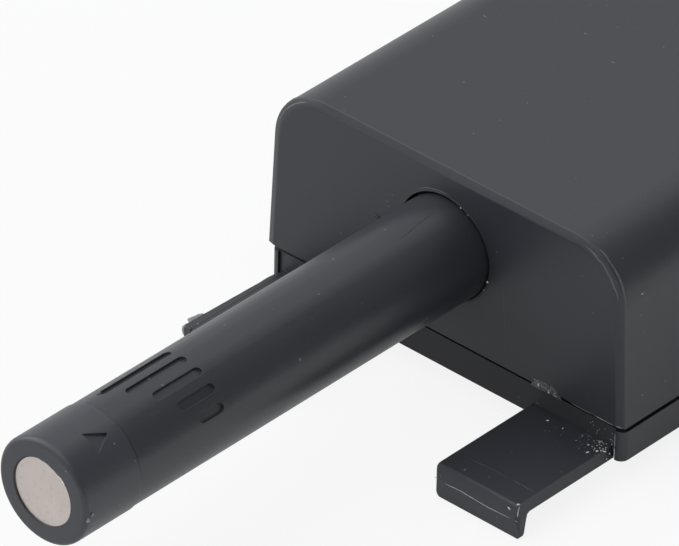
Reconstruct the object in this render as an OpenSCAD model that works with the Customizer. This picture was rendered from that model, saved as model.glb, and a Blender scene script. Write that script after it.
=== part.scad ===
// Push to open catch with a magnetic tip, screwed to the inside of a cabinet panel.
// A long plunger stands out of a flat moulded housing. Pressing it in until it catches closes
// the door, and a second press lets its spring push the door open.
// X runs across the catch, +Y runs from its front to its back and +Z points away from the panel.
// The origin is the middle of the two screw holes, on the mounting face.
// Lengths are in millimetres and angles in degrees.

/* [Housing] */
// Width of the cover at its lower edge
cover_w = 41.6; // [40:0.2:50]
// Height of the cover
cover_h = 17.5; // [17.2:0.1:22]
// Length of the cover from front to back
housing_l = 80; // [76:1:110]
// Wall of the cover
cover_wall = 1.6; // [1.2:0.1:1.8]
// Lean of the cover's sides
side_draft = 2.5; // [0.5:0.5:4]
// Radius of the cover's two long upper edges
top_edge_r = 5.8; // [3:0.1:7]
// How far the shallow bevel around the cover's front and back reaches in from its sides
face_bevel_w = 0.8; // [0.4:0.1:1.2]
// Depth of that bevel at the cover's sides
face_bevel_d = 0.35; // [0.2:0.05:0.6]
// Cradle ribs that hang from the cover's ceiling
cradle_ribs = 3; // [2:1:5]
// Thickness of the ribs inside the cover
rib_t = 1.4; // [1:0.1:2]
// Clips along each side of the housing
clips_per_side = 3; // [2:1:5]
// Length of one clip
clip_l = 6; // [4:0.5:8]

/* [Mounting plate] */
// Height of the mounting plate
plate_h = 3.7; // [3.5:0.1:5]
// Thickness of the plate's floor and of the two tabs
plate_skin = 1.2; // [1:0.1:1.5]
// How far the plate's sides lie inside the cover's lower edge
plate_side_inset = 0.2; // [0:0.1:0.6]
// How far the plate's front lies behind the cover's front
plate_front_inset = 0.4; // [0.2:0.1:1]
// Thickness of the plate's thin side rims
plate_rim = 0.9; // [0.6:0.1:1.2]
// Height of the shadow gap along the sides, between plate and cover
shadow_gap = 0.65; // [0.3:0.05:1]
// Distance between the two screws
screw_pitch = 32; // [25:1:36]
// Distance from the panel's edge to the first screw
first_screw_back = 38; // [32:1:40]
// Diameter of the screw holes
screw_hole_d = 4.2; // [3.5:0.1:4.6]
// Diameter of the screw heads' countersinks
screw_head_d = 8.2; // [7:0.1:9]

/* [Locating tabs] */
// Width of one tab
tab_w = 9.7; // [8:0.1:9.8]
// Distance from the middle plane to a tab's inner side
tab_inner_x = 9.85; // [9:0.05:10]
// How far the lips' fronts stand ahead of the cover's front
tab_out = 11.85; // [8:0.05:14]
// How far the lips hang below the mounting face
lip_drop = 2.6; // [1.5:0.1:4]
// Thickness of a lip
lip_t = 1.05; // [0.8:0.05:2]

/* [Plunger] */
// Diameter of the plunger
plunger_d = 10; // [9:0.1:10.4]
// How far the plunger, without its tip head, stands out of the cover at rest
plunger_out = 43.5; // [42:0.5:60]
// Travel from fully out to fully pressed in
travel = 38; // [34:0.5:40]
// Travel at which the follower pin hangs in the notch of the cam
latched_travel = 36.4; // [32:0.1:36.6]
// Length of the carriage at the plunger's inner end
carriage_l = 14.7; // [14.5:0.1:18]
// Length of the carriage's two side wings
wing_l = 6; // [4:0.5:10]
// Slots in the adjusting scale on the plunger
scale_slots = 5; // [3:1:7]
// Width of one slot in the scale
scale_slot_w = 0.9; // [0.8:0.1:1.4]
// Depth of the scale's slots and of the pointer on the tip head
mark_depth = 0.25; // [0.1:0.05:0.4]

/* [Tip head] */
// Length of the tip head
head_l = 6.8; // [6:0.1:10]
// Diameter of the tip head
head_d = 10.16; // [9.5:0.02:11]
// How far the tip head can be screwed out
tip_adjust = 5; // [2:0.5:6]
// Length of the shank that is still in the plunger when the head is screwed out
shank_hold = 5.5; // [4:0.5:6]
// Diameter of the threaded shank
shank_d = 5.3; // [5:0.1:6]
// Diameter of the magnet
magnet_d = 6.5; // [5:0.1:7]
// Length of the magnet
magnet_l = 4.5; // [3:0.1:5]

/* [Barrel and latch] */
// Wall of the barrel that the plunger runs in
barrel_wall = 0.9; // [0.8:0.05:1]
// How much wider in radius the carriage is than the plunger
carriage_step = 0.42; // [0.3:0.02:0.5]
// Thickness of the front guide plate
guide_t = 2; // [1.5:0.1:3]
// Thickness of the rubber buffer ring
buffer_t = 1.4; // [1:0.1:2]
// Thickness of the cam plate
cam_t = 2.6; // [2.4:0.1:3]
// Depth of the heart track in the cam plate
track_depth = 1.5; // [1.2:0.1:1.6]
// Diameter of the bent follower wire
wire_d = 1; // [0.8:0.05:1.1]
// Length of the follower wire from its pivot to its tip
follower_l = 15; // [15:0.5:17]
// Distance from the middle of the track to the middle of a lane
lane_x = 2.4; // [2:0.1:2.5]

/* [Main spring] */
// Mean diameter of the coils
coil_d = 5.4; // [5:0.1:5.6]
// Diameter of the spring wire
coil_wire_d = 0.7; // [0.5:0.05:0.8]
// Number of coils
coils = 22; // [16:1:26]
// Diameter of the steel rod inside the spring
guide_rod_d = 2.6; // [2:0.1:3]

/* [Hidden] */
$fn = 64;
eps = 0.01;
plastic = "#414247";
steel = "#b9bcc0";
rubber = "#1d1d1f";
natural_plastic = "#d9d6cc";

// Clearances
run_gap = 0.08;   // between a sliding piece and its guide
seat_gap = 0.1;   // between pieces that only seat on one another
hole_gap = 0.25;  // around the plunger in the cover's front
thread_gap = 0.1; // around the shank in the plunger
magnet_gap = 0.06; // around the magnet in the tip head

// Places along Y, from the front of the cover to the back
front_y = tab_out - lip_t - first_screw_back - screw_pitch / 2;
back_y = front_y + housing_l;
guide_y = front_y + cover_wall + seat_gap;
buffer_y = guide_y + guide_t;
barrel_y = buffer_y + buffer_t + seat_gap;
carriage_y = barrel_y + seat_gap;
carriage_end = carriage_y + carriage_l;
pivot_in = 3;
pivot_y = carriage_y + pivot_in;
pin_y = pivot_y + follower_l;
seat_behind_pivot = 2.7;
spring_seat_y = pivot_y + seat_behind_pivot;
cap_flange_t = 1.8;
cap_room = 0.6;
cap_end = back_y - cover_wall - cap_room;
barrel_end = cap_end - cap_flange_t;
cap_spigot_l = 4;
cap_spigot_y = barrel_end - cap_spigot_l;
rod_overlap = 8;
guide_rod_y = carriage_end - rod_overlap;
plunger_y = front_y - plunger_out;
tip_y = plunger_y - head_l;

// Radii about the plunger's axis
plunger_r = plunger_d / 2;
carriage_r = plunger_r + carriage_step;
bore_r = carriage_r + run_gap;
barrel_r = bore_r + barrel_wall;
spring_bore_r = coil_d / 2 + coil_wire_d / 2 + 0.25;
rod_bore_r = guide_rod_d / 2 + 0.7;
shank_bore_r = shank_d / 2 + thread_gap;
shank_l = tip_adjust + shank_hold;
shank_bore_l = shank_l + 1.5;
ring_d = 0.9;
ring_in = 2.4;
ring_y = plunger_y + shank_l - ring_in;

// Heights. The barrel hangs close under the cover's ceiling.
ceiling_z = plate_h + cover_h - cover_wall;
axis_z = ceiling_z - barrel_r - seat_gap;

// Heights below the plunger's axis
flat_drop = plunger_r - 0.3;
leaf_t = 0.2;
leaf_drop = flat_drop + 0.05;
wire_drop = leaf_drop + leaf_t + 0.1 + wire_d / 2;
cam_drop = wire_drop + wire_d / 2 + 0.15;
cam_floor_drop = cam_drop + track_depth;

// Leaf that presses on the follower wire, and the wire's pivot in the carriage
leaf_w = 3;
leaf_root_w = 5.2;
leaf_root_l = 2.4;
leaf_y = pivot_y + 1.8;
leaf_peg_x = 1.8;
leaf_peg_y = leaf_y + leaf_root_l / 2;
leaf_peg_d = 0.9;
leaf_peg_l = 0.9;
pivot_depth = flat_drop - rod_bore_r - 0.4;
bend_r = 0.8;

// Snap arms of the cover and the plate: each has a hook with a flat catch and a sloping nose
arm_t = 1.2;
arm_gap = 0.15;
barrel_hook = 0.7;
plate_hook = 0.5;
hook_edge = 0.3;
hook_h = 1.1;

// Side rails and wings
wing_reach = 2.35;
wing_x = bore_r + wing_reach;
wing_h = 2.8;
wing_gap_x = 0.15;
channel_x = wing_x + wing_gap_x;
channel_h = wing_h + 2 * seat_gap;
rail_side_t = 1.2;
rail_x = channel_x + rail_side_t;
rail_face_t = 1;
rail_h = channel_h + 2 * rail_face_t;
slot_x = lane_x + wire_d / 2 + 0.6;

// Cam plate and the legs of the barrel that hold it
cam_land = 4.2;
cam_w = 2 * (lane_x + cam_land);
leg_t = 1.2;
leg_x = cam_w / 2 + seat_gap;
leg_lip_t = 0.5;
leg_lip_w = 0.8;
leg_drop = cam_drop + cam_t + 0.05 + leg_lip_t;
leg_z = axis_z - leg_drop;
lane_w = wire_d + 0.6;
track_x = lane_x + lane_w / 2;
track_spare = 0.6;
track_y = pin_y - wire_d / 2 - track_spare;
track_end = pin_y + travel + wire_d / 2 + track_spare;
cam_front_land = 0.8;
cam_rear_land = 3;
cam_y = track_y - cam_front_land;
cam_end = track_end + cam_rear_land;
nose_l = 4.4;

// Mounting plate
plate_x = cover_w / 2 - plate_side_inset;
plate_y = front_y + plate_front_inset;
plate_end = back_y - plate_front_inset;
rim_h = plate_h - shadow_gap;
wall_t = 1.2;
front_wall_h = rim_h - 0.08;
boss_h = min(rim_h, leg_z - 0.5);
boss_d = screw_head_d + 2.4;
cross_rib_h = min(2.6, leg_z - 0.4);
recess_depth = 0.25;
ridge_drop = 0.42;
tab_x = tab_inner_x + tab_w / 2;
corner_r = 0.8;

// Ledges inside the cover, and the places of ribs, snaps and clips along Y
ledge_low = plate_h + 0.9;
ledge_h = 0.8;
ledge_in = 0.5;
ledge_slope = 0.3;
ledge_sunk = 0.3;
rib_reach = 2.6;
rib_margin = 9;
rib_first = front_y + rib_margin;
rib_last = back_y - rib_margin;
snap_first = rib_first + (rib_last - rib_first) / 4;
snap_last = rib_last - (rib_last - rib_first) / 4;
clip_margin = 13;
clip_first = front_y + clip_margin;
clip_last = back_y - clip_margin;
cross_ribs = 4;
cross_rib_t = 1;
cross_rib_front = 20;
cross_rib_rear = 10;
cross_rib_first = plate_y + cross_rib_front;
cross_rib_last = plate_end - cross_rib_rear;

// Corner between the cover's sides and its bevel, and the bevel's soft end on the face
bevel_corner_r = 0.15;
bevel_fade = 0.1;

// Inner face of the cover's side wall at height z
function inner_x(z) = cover_w / 2 - cover_wall / cos(side_draft) - tan(side_draft) * (z - plate_h);

// Outer face of the plate's clips, clear of the ledges that they hook over
clip_x = inner_x(ledge_low) - ledge_in - arm_gap;

// Upright outline of the cover, drawn in by inset from its sides and top
function cover_outline(inset, low_z) =
    let(
        wall_x = cover_w / 2 - inset / cos(side_draft) - tan(side_draft) * (low_z - plate_h),
        arc_x = cover_w / 2 - tan(side_draft) * (cover_h - top_edge_r) - top_edge_r / cos(side_draft),
        arc_z = plate_h + cover_h - top_edge_r,
        r = top_edge_r - inset,
        steps = 24,
        right = [for (i = [0:steps]) let(a = side_draft + (90 - side_draft) * i / steps)
                 [arc_x + r * cos(a), arc_z + r * sin(a)]],
        left = [for (i = [steps:-1:0]) [-right[i][0], right[i][1]]]
    )
    concat([[wall_x, low_z]], right, left, [[-wall_x, low_z]]);

// Stands a flat X-Z shape up at y and gives it a length along +Y
module stand(y, length) {
    translate([0, y + length, 0]) rotate([90, 0, 0]) linear_extrude(length) children();
}

// A round bar along +Y about the plunger's axis
module axial(y, length, r) {
    translate([0, y, axis_z]) rotate([-90, 0, 0]) cylinder(h = length, r = r);
}

// A rectangle in X-Z that is centred across the catch
module band(half_x, low_z, high_z) {
    translate([-half_x, low_z]) square([2 * half_x, high_z - low_z]);
}

// Places n things evenly from first to last along Y
module along(n, first, last) {
    for (i = [0:n - 1]) translate([0, first + (last - first) * i / (n - 1), 0]) children();
}

// Edge around the cover's front and back, from its sides to the face: a small rounded corner
// and a shallow bevel. Each point is a distance in from the sides and a depth behind the face.
function face_edge() =
    let(
        fall = atan(face_bevel_d / face_bevel_w),
        turn = 90 - fall,
        steps = 3,
        corner_end = face_bevel_d + bevel_corner_r * tan(turn / 2)
    )
    concat(
        [for (i = [0:steps]) let(a = turn * i / steps)
         [bevel_corner_r * (1 - cos(a)), corner_end - bevel_corner_r * sin(a)]],
        [[face_bevel_w - bevel_fade * cos(fall), bevel_fade * sin(fall)],
         [face_bevel_w + bevel_fade, 0]]
    );

// Solid form of the cover: one outline after another along Y, drawn in towards both faces
module cover_form() {
    edge = face_edge();
    steps = len(edge) - 1;
    stations = concat(
        [for (i = [steps:-1:0]) [edge[i][0], front_y + edge[i][1]]],
        [for (i = [0:steps]) [edge[i][0], back_y - edge[i][1]]]
    );
    rings = [for (s = stations) cover_outline(s[0], plate_h + min(s[0], 0.2))];
    count = len(rings[0]);
    last = len(rings) - 1;
    points = [for (k = [0:last]) for (q = rings[k]) [q[0], stations[k][1], q[1]]];
    skin = [for (k = [0:last - 1], j = [0:count - 1])
            let(a = k * count + j, b = k * count + (j + 1) % count)
            each [[a, b, a + count], [b, b + count, a + count]]];
    front = [for (j = [count - 1:-1:0]) j];
    back = [for (j = [0:count - 1]) last * count + j];
    polyhedron(points, concat([front], skin, [back]), convexity = 4);
}

// Room that a cradle rib leaves for the barrel
module barrel_room() {
    translate([0, axis_z]) circle(r = barrel_r + seat_gap);
    band(rail_x + seat_gap, 0, axis_z + rail_h / 2 + seat_gap);
}

// A rib that holds the barrel from above and at its sides
module cradle_rib() {
    translate([0, -rib_t / 2, 0])
        stand(0, rib_t)
            difference() {
                band(rail_x + rib_reach, axis_z - rail_h / 2, ceiling_z + eps);
                barrel_room();
            }
}

// The same thing at both sides of the catch
module both_sides() {
    for (side = [0, 1]) mirror([side, 0, 0]) children();
}

// Outline of a snap arm with a root of a given length. Its hook stands out to +X and catches
// at the origin.
module snap_arm(root, hook) {
    polygon([[0, -root], [0, 0], [hook, 0], [hook, hook_edge], [0, hook_h],
             [-arm_t, hook_h], [-arm_t, -root]]);
}

// A pair of arms that hang from the cover's ceiling and snap under the barrel's side rails
module barrel_snaps() {
    rail_low = axis_z - rail_h / 2 - seat_gap;
    both_sides()
        translate([rail_x + arm_gap, -clip_l / 2, rail_low])
            mirror([1, 0, 0])
                mirror([0, 0, 1])
                    stand(0, clip_l) snap_arm(ceiling_z + eps - rail_low, barrel_hook);
}

// Ledges on the cover's inner walls that the plate's clips catch
module cover_ledges() {
    wall_x = inner_x(ledge_low);
    both_sides()
        translate([0, -clip_l / 2 - 0.5, 0])
            stand(0, clip_l + 1)
                polygon([
                    [wall_x + ledge_sunk, ledge_low],
                    [wall_x - ledge_in, ledge_low + ledge_slope],
                    [wall_x - ledge_in, ledge_low + ledge_h],
                    [wall_x + ledge_sunk, ledge_low + ledge_h]
                ]);
}

module cover() {
    color(plastic) {
        difference() {
            union() {
                difference() {
                    cover_form();
                    cavity();
                }
                along(cradle_ribs, rib_first, rib_last) cradle_rib();
                along(2, snap_first, snap_last) barrel_snaps();
                along(clips_per_side, clip_first, clip_last) cover_ledges();
                rear_stop();
            }
            axial(front_y - 1, cover_wall + 2, plunger_r + hole_gap);
        }
    }
}

// Hollow inside of the cover, open below
module cavity() {
    stand(front_y + cover_wall, housing_l - 2 * cover_wall) {
        polygon(cover_outline(cover_wall, plate_h));
        band(inner_x(plate_h), plate_h - 1, plate_h + eps);
    }
}

// Rib on the back wall that keeps the end cap pressed in
module rear_stop() {
    half_w = 4;
    stand(cap_end + seat_gap, back_y - cover_wall - cap_end)
        band(half_w, axis_z - half_w, ceiling_z + eps);
}

// Plan of a rectangle with rounded corners, centred across the catch
module rounded_plan(half_x, y0, y1, r) {
    translate([-half_x + r, y0]) square([2 * (half_x - r), y1 - y0]);
    translate([-half_x, y0 + r]) square([2 * half_x, y1 - y0 - 2 * r]);
    for (x = [-half_x + r, half_x - r], y = [y0 + r, y1 - r]) translate([x, y]) circle(r = r);
}

// A pair of upright arms on the plate that hook over the ledges inside the cover
module plate_clips() {
    hook_z = ledge_low + ledge_h + seat_gap;
    both_sides()
        translate([clip_x, -clip_l / 2, hook_z])
            stand(0, clip_l) snap_arm(hook_z - plate_skin + eps, plate_hook);
}

// Slots in the plate's floor under the hooks, where its mould forms their catching sides
module clip_slots() {
    both_sides()
        translate([clip_x, -clip_l / 2, -1])
            cube([plate_hook + seat_gap, clip_l, plate_skin + 2]);
}

// Side view of a tab and its lip, whose front stands out most at the ridge that its mould's
// parting left. The top's front edge is rounded, and a small fillet fills the corner behind.
module tab_profile(lip_y, root_y) {
    top_r = 0.35;
    top_back = 0.08;
    foot_back = 0.5;
    foot_bevel = 0.15;
    foot_t = 0.35;
    fillet = 0.5;
    lip_back = lip_y + lip_t;
    top_arc = [for (a = [90:-30:0])
               [lip_y + top_back + top_r * (1 - cos(a)), plate_skin - top_r * (1 - sin(a))]];
    polygon(concat(
        [[root_y, plate_skin]],
        top_arc,
        [
            [lip_y, -ridge_drop],
            [lip_y + foot_back - foot_bevel, -lip_drop + foot_bevel],
            [lip_y + foot_back, -lip_drop],
            [lip_y + foot_back + foot_t, -lip_drop],
            [lip_back - foot_bevel, -lip_drop + 2 * foot_bevel],
            [lip_back, -fillet],
            [lip_back + 0.3 * fillet, -0.3 * fillet],
            [lip_back + fillet, 0],
            [root_y, 0]
        ]
    ));
}

// Front view of a tab: its sides lean in above the ridge, and the lip's lower corners are round
module tab_face() {
    lean = 0.2;
    foot_in = 0.1;
    foot_r = 0.6;
    high_z = plate_skin + 1;
    half_w = tab_w / 2;
    foot_x = half_w - foot_in - foot_r;
    foot_z = foot_r - lip_drop;
    right = concat(
        [[half_w - lean * (high_z + ridge_drop), high_z], [half_w, -ridge_drop]],
        [for (a = [0:-30:-90]) [foot_x + foot_r * cos(a), foot_z + foot_r * sin(a)]]
    );
    left = [for (i = [len(right) - 1:-1:0]) [-right[i][0], right[i][1]]];
    polygon(concat(right, left));
}

// One tab with the lip that stops against the panel's edge
module tab() {
    lip_y = front_y - tab_out;
    root_y = plate_y + recess_depth + wall_t / 2;
    plan_r = 0.55;
    translate([tab_x, 0, 0])
        intersection() {
            rotate([90, 0, 90])
                translate([0, 0, -tab_w / 2])
                    linear_extrude(tab_w) tab_profile(lip_y, root_y);
            translate([0, 0, -lip_drop - 1])
                linear_extrude(lip_drop + plate_skin + 2)
                    rounded_plan(tab_w / 2, lip_y, root_y + 2, plan_r);
            stand(lip_y - 1, root_y - lip_y + 2) tab_face();
        }
}

module screw_hole() {
    sink = (screw_head_d - screw_hole_d) / 2;
    translate([0, 0, -1]) cylinder(h = boss_h + 2, d = screw_hole_d);
    translate([0, 0, boss_h - sink]) cylinder(h = sink + eps, d1 = screw_hole_d, d2 = screw_head_d + 2 * eps);
    translate([0, 0, boss_h]) cylinder(h = 1, d = screw_head_d);
}

// Room in front of and above the plate's front wall, which stands back a little between its
// two corners and is a little lower
module front_recess() {
    inner_x = plate_x - plate_rim;
    translate([-inner_x, plate_y - 1, -1])
        cube([2 * inner_x, 1 + recess_depth, plate_h + 2]);
    translate([-inner_x, plate_y - 1, front_wall_h])
        cube([2 * inner_x, wall_t + 1 + eps, plate_h]);
}

// Rail on the plate's floor that carries one side of the barrel
module barrel_rail() {
    translate([leg_x + leg_t / 2 - wall_t / 2, plate_y + wall_t - eps, 0])
        cube([wall_t, plate_end - plate_y - 2 * (wall_t - eps), leg_z - seat_gap]);
}

module mounting_plate() {
    inner_x = plate_x - plate_rim;
    color(plastic)
        difference() {
            union() {
                // Tray with thin side rims and a wall at each end
                difference() {
                    linear_extrude(rim_h) rounded_plan(plate_x, plate_y, plate_end, corner_r);
                    translate([-inner_x, plate_y + wall_t, plate_skin])
                        cube([2 * inner_x, plate_end - plate_y - 2 * wall_t, plate_h]);
                    front_recess();
                }
                along(cross_ribs, cross_rib_first, cross_rib_last)
                    translate([-inner_x - eps, 0, 0]) cube([2 * (inner_x + eps), cross_rib_t, cross_rib_h]);
                both_sides() barrel_rail();
                along(2, -screw_pitch / 2, screw_pitch / 2) cylinder(h = boss_h, d = boss_d);
                along(clips_per_side, clip_first, clip_last) plate_clips();
                both_sides() tab();
            }
            along(2, -screw_pitch / 2, screw_pitch / 2) screw_hole();
            along(clips_per_side, clip_first, clip_last) clip_slots();
        }
}

// Section of the barrel: a tube with side rails, and legs that hold the cam plate
module barrel_section() {
    translate([0, axis_z]) circle(r = barrel_r);
    band(rail_x, axis_z - rail_h / 2, axis_z + rail_h / 2);
    for (side = [-1, 1]) {
        translate([side * (leg_x + leg_t / 2) - leg_t / 2, leg_z])
            square([leg_t, leg_drop - rail_h / 2 + eps]);
        // Lips below and above the cam plate's edge
        translate([side * (leg_x - leg_lip_w / 2 + 0.1) - leg_lip_w / 2 - 0.1, leg_z])
            square([leg_lip_w + 0.2, leg_lip_t]);
        translate([side * (leg_x - leg_lip_w / 2 + 0.1) - leg_lip_w / 2 - 0.1, axis_z - cam_drop + 0.05])
            square([leg_lip_w + 0.2, leg_lip_t]);
    }
}

module barrel() {
    wing_stop = carriage_y + wing_l + travel + 0.3;
    color(plastic)
        difference() {
            stand(barrel_y, barrel_end - barrel_y) barrel_section();
            axial(barrel_y - 1, barrel_end - barrel_y + 2, bore_r);
            stand(barrel_y - 1, wing_stop - barrel_y + 1)
                band(channel_x, axis_z - channel_h / 2, axis_z + channel_h / 2);
            stand(pivot_y - 1.3, barrel_end - pivot_y + 3)
                band(slot_x, axis_z - barrel_r - 0.1, axis_z - barrel_r / 2);
        }
}

module front_guide() {
    color(plastic)
        difference() {
            stand(guide_y, guide_t) {
                translate([0, axis_z]) circle(r = barrel_r);
                band(rail_x, axis_z - rail_h / 2, axis_z + rail_h / 2);
            }
            axial(guide_y - 1, guide_t + 2, plunger_r + run_gap);
        }
}

module buffer_ring() {
    color(rubber)
        difference() {
            axial(buffer_y + 0.02, buffer_t, barrel_r - seat_gap);
            axial(buffer_y - 1, buffer_t + 2, plunger_r + 0.2);
        }
}

// Plan of the track's island. Its nose parts the two lanes, and the notch between the two
// horns at its back end holds the pin. The left horn is shorter, so the pin comes in past it.
module track_island() {
    island_x = lane_x - lane_w / 2;
    nose_y = track_y + nose_l;
    nose_x = 0.4;
    right_slope = 2.6;
    left_slope = 2;
    notch_y = pin_y + latched_travel - wire_d / 2 - 0.15;
    notch_x = 0.25;
    right_horn_y = notch_y + 0.8;
    left_horn_y = notch_y + 0.45;
    horn_l = 0.9;
    horn_bevel = 0.35;
    horn_w = 0.25;
    polygon([
        [nose_x, nose_y],
        [island_x, nose_y + right_slope],
        [island_x, right_horn_y - horn_l],
        [island_x - horn_bevel, right_horn_y],
        [island_x - horn_bevel - horn_w, right_horn_y],
        [notch_x, notch_y],
        [-notch_x, notch_y],
        [-island_x + horn_bevel + 2 * horn_w, left_horn_y],
        [-island_x + horn_bevel, left_horn_y],
        [-island_x, left_horn_y - horn_l],
        [-island_x, nose_y + left_slope]
    ]);
}

module cam_plate() {
    top_z = axis_z - cam_drop;
    floor_z = top_z - track_depth;
    corner = 0.6;
    step = 0.25;
    step_l = 2.4;
    rear_step_y = pin_y + latched_travel + corner;
    color(natural_plastic)
        difference() {
            translate([-cam_w / 2, cam_y, top_z - cam_t]) cube([cam_w, cam_end - cam_y, cam_t]);
            translate([0, 0, floor_z])
                linear_extrude(track_depth + 1)
                    difference() {
                        rounded_plan(track_x, track_y, track_end, corner);
                        track_island();
                    }
            // Deeper steps of the floor, behind the island and at the start
            translate([-track_x, rear_step_y, floor_z - step])
                cube([2 * track_x, track_end - corner - rear_step_y, step + eps]);
            translate([corner - track_x, track_y + corner, floor_z - step])
                cube([2 * (track_x - corner), step_l, step + eps]);
        }
}

module end_cap() {
    color(plastic)
        difference() {
            union() {
                axial(cap_spigot_y, cap_spigot_l + 0.02 + eps, bore_r - seat_gap);
                stand(barrel_end + 0.02, cap_flange_t - 0.02) {
                    translate([0, axis_z]) circle(r = barrel_r);
                    band(rail_x, axis_z - rail_h / 2, axis_z + rail_h / 2);
                }
            }
            axial(cap_spigot_y - 1, cap_spigot_l + 2, guide_rod_d / 2 + 0.02);
        }
}

module guide_rod() {
    nose = 0.5;
    rod_end = barrel_end + 0.9;
    color(steel)
        translate([0, guide_rod_y, axis_z])
            rotate([-90, 0, 0]) {
                cylinder(h = nose, r1 = guide_rod_d / 2 - nose, r2 = guide_rod_d / 2);
                translate([0, 0, nose]) cylinder(h = rod_end - guide_rod_y - nose, r = guide_rod_d / 2);
            }
}

// Ring of points around the spring wire where its centre line stands at angle a and length y
function coil_ring(a, y, sides) =
    [for (j = [0:sides - 1]) let(b = 360 * j / sides, r = coil_d / 2 + coil_wire_d / 2 * cos(b))
     [r * cos(a), y + coil_wire_d / 2 * sin(b), r * sin(a)]];

module main_spring() {
    sides = 6;
    per_turn = 16;
    rings = coils * per_turn;
    closed = 1.5;
    spring_l = cap_spigot_y - spring_seat_y - coil_wire_d - 0.1;
    end_rise = closed * (coil_wire_d + 0.02);
    free_rise = spring_l - 2 * end_rise;
    function rise(t) =
        t < closed ? end_rise * t / closed :
        t > coils - closed ? spring_l - end_rise * (coils - t) / closed :
        end_rise + free_rise * (t - closed) / (coils - 2 * closed);
    points = [for (i = [0:rings]) let(t = i / per_turn) each coil_ring(360 * t, rise(t), sides)];
    skin = [for (i = [0:rings - 1], j = [0:sides - 1])
            let(a = i * sides + j, b = i * sides + (j + 1) % sides)
            each [[a, b, a + sides], [b, b + sides, a + sides]]];
    first_end = [for (j = [sides - 1:-1:0]) j];
    last_end = [for (j = [0:sides - 1]) rings * sides + j];
    color(steel)
        translate([0, spring_seat_y + coil_wire_d / 2 + 0.05, axis_z])
            polyhedron(points, concat([first_end], skin, [last_end]), convexity = 10);
}

// A slot of the adjusting scale, sunk into the plunger along its length
module scale_slot(y, length) {
    r = scale_slot_w / 2;
    translate([0, y, plunger_r - mark_depth])
        linear_extrude(mark_depth + 1) {
            translate([-r, r]) square([2 * r, length - 2 * r]);
            translate([0, r]) circle(r = r, $fn = 24);
            translate([0, length - r]) circle(r = r, $fn = 24);
        }
}

module adjusting_scale() {
    scale_end = front_y - plunger_out + 10.6;
    longest = 8.6;
    shortest = 2.9;
    first_angle = -20;
    turn = 84 / (scale_slots - 1);
    for (i = [0:scale_slots - 1]) {
        length = longest + (shortest - longest) * i / (scale_slots - 1);
        translate([0, 0, axis_z])
            rotate([0, first_angle + turn * i, 0])
                scale_slot(scale_end - length, length);
    }
}

module plunger() {
    rod_bore_y = guide_rod_y - travel - 3;
    color(plastic)
        difference() {
            union() {
                axial(plunger_y, carriage_y - plunger_y + 1, plunger_r);
                axial(carriage_y, carriage_l, carriage_r);
                stand(carriage_y, wing_l)
                    band(wing_x, axis_z - wing_h / 2, axis_z + wing_h / 2);
            }
            adjusting_scale();
            axial(plunger_y - 1, shank_bore_l + 1, shank_bore_r);
            axial(rod_bore_y, spring_seat_y - rod_bore_y + 1, rod_bore_r);
            axial(spring_seat_y, carriage_end - spring_seat_y + 1, spring_bore_r);
            // Flat under the carriage, over the follower wire
            stand(carriage_y, carriage_l + 1)
                band(slot_x, axis_z - bore_r - 1, axis_z - flat_drop);
            translate([0, pivot_y, axis_z - flat_drop - 1])
                cylinder(h = pivot_depth + 1, d = wire_d + 0.1);
            for (side = [-1, 1])
                translate([side * leaf_peg_x, leaf_peg_y, axis_z - flat_drop - 1])
                    cylinder(h = 2, d = leaf_peg_d + 0.04, $fn = 32);
        }
}

// Quarter bend of the follower wire, from the X-Y plane's +X side to its +Y side
module wire_bend() {
    rotate([90, 0, 90])
        rotate_extrude(angle = 90)
            translate([bend_r, 0])
                circle(d = wire_d);
}

// Bent wire: a pivot leg in the carriage, an arm, and a tip leg down in the track
module follower_pin() {
    wire_z = axis_z - wire_drop;
    leg_up = wire_drop - flat_drop + pivot_depth - 0.1;
    leg_down = cam_floor_drop - wire_drop - 0.35;
    arm_l = norm([lane_x, follower_l]);
    color(steel)
        translate([0, pivot_y, wire_z])
            rotate([0, 0, atan2(lane_x, follower_l)]) {
                translate([0, 0, bend_r]) cylinder(h = leg_up - bend_r, d = wire_d);
                translate([0, bend_r, bend_r]) mirror([0, 1, 0]) mirror([0, 0, 1]) wire_bend();
                translate([0, bend_r, 0])
                    rotate([-90, 0, 0])
                        cylinder(h = arm_l - 2 * bend_r, d = wire_d);
                translate([0, arm_l - bend_r, -bend_r]) wire_bend();
                translate([0, arm_l, -leg_down]) cylinder(h = leg_down - bend_r, d = wire_d);
            }
}

// Leaf that keeps the wire down in the track, held by two pegs
module follower_spring() {
    leaf_end = carriage_end + 1.2;
    color(steel)
        translate([0, 0, axis_z - leaf_drop - leaf_t]) {
            linear_extrude(leaf_t) {
                translate([-leaf_root_w / 2, leaf_y]) square([leaf_root_w, leaf_root_l]);
                translate([-leaf_w / 2, leaf_y]) square([leaf_w, leaf_end - leaf_y]);
            }
            for (side = [-1, 1])
                translate([side * leaf_peg_x, leaf_peg_y, 0])
                    cylinder(h = leaf_t + leaf_peg_l, d = leaf_peg_d, $fn = 32);
        }
}

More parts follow.
